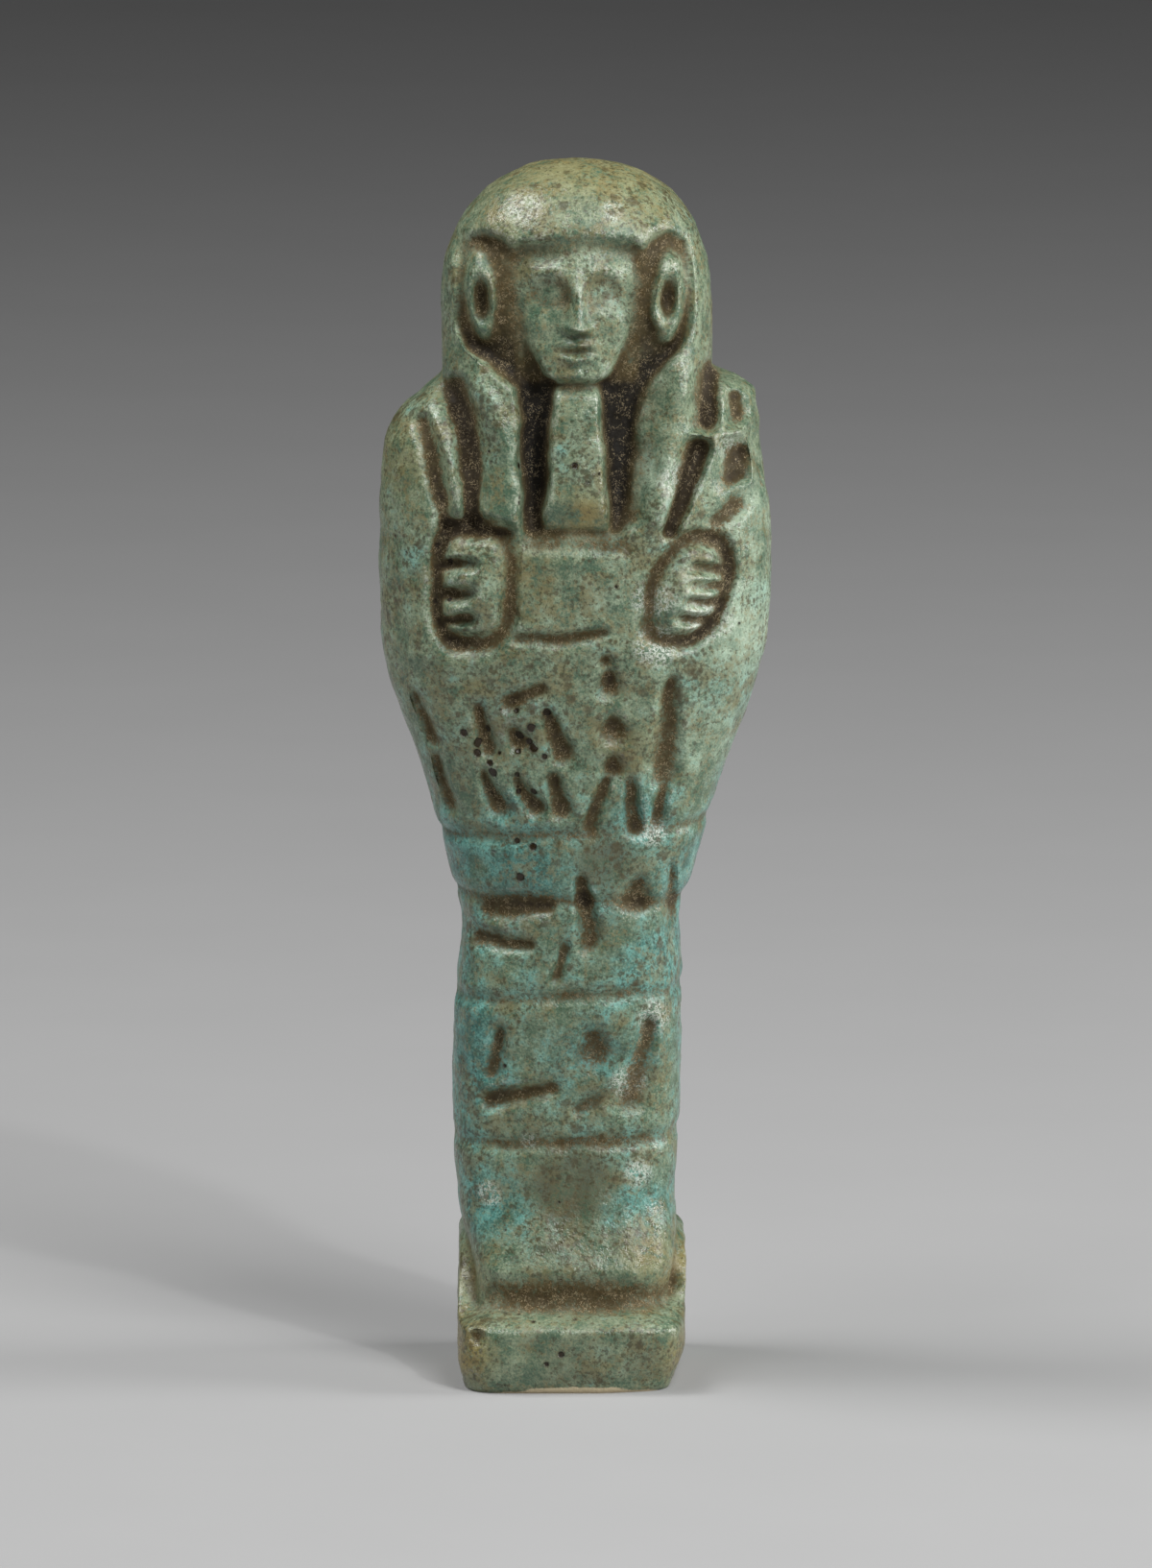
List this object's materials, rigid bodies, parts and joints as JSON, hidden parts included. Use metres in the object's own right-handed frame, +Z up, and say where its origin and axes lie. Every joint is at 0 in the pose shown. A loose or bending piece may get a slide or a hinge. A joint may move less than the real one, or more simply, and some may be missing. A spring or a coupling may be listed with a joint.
{
  "type": "ushabti figurine",
  "caption": "Standing mummy-shaped funerary figure of glazed faience with wig, beard, hoes, rows of strokes, foot block and back pillar.",
  "frame": {"origin": "middle of the object's box, on the plane of the underside of the foot block", "axes": "+Z up along the figure, -Y the way the face looks, +Y out of the flat back pillar, +X the figure's left"},
  "size_m": [0.0338, 0.0246, 0.105],
  "materials": {
    "faience": "satin"
  },
  "bodies": {
    "root": {"ushabti": "faience"}
  },
  "joints": []
}
